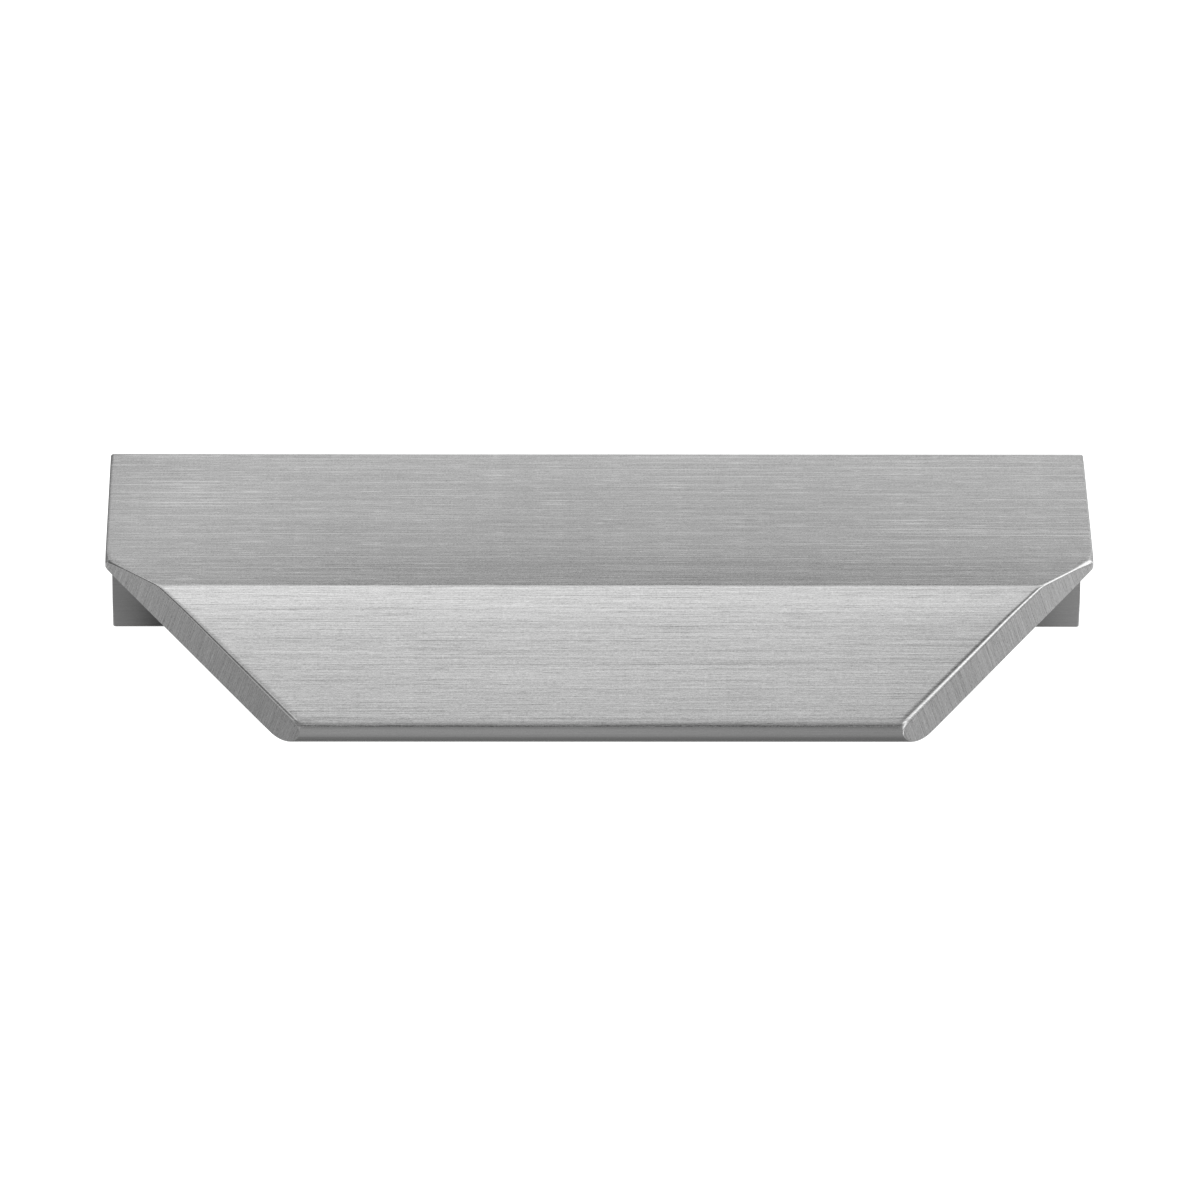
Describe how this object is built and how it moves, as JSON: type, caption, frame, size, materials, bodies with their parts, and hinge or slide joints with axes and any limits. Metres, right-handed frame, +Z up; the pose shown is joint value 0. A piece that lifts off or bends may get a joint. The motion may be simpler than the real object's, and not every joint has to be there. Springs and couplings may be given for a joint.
{
  "type": "tab pull",
  "caption": "Tab pull for the top edge of a drawer or door front: thin plate, screwed flange behind, thicker mitred tab sloping down in front, brushed metal.",
  "frame": {"origin": "middle of the inside corner where the plate's underside meets the flange's front face, which is the top back edge of the drawer front", "axes": "+X along the pull, -Y out of the drawer front to the room, +Z up"},
  "size_m": [0.1016, 0.0439, 0.0197],
  "materials": {
    "brushed_aluminium": "fine straight brushing along the length, across the thickness on the mitred faces"
  },
  "bodies": {
    "root": {"tab_pull": "brushed_aluminium"}
  },
  "joints": []
}
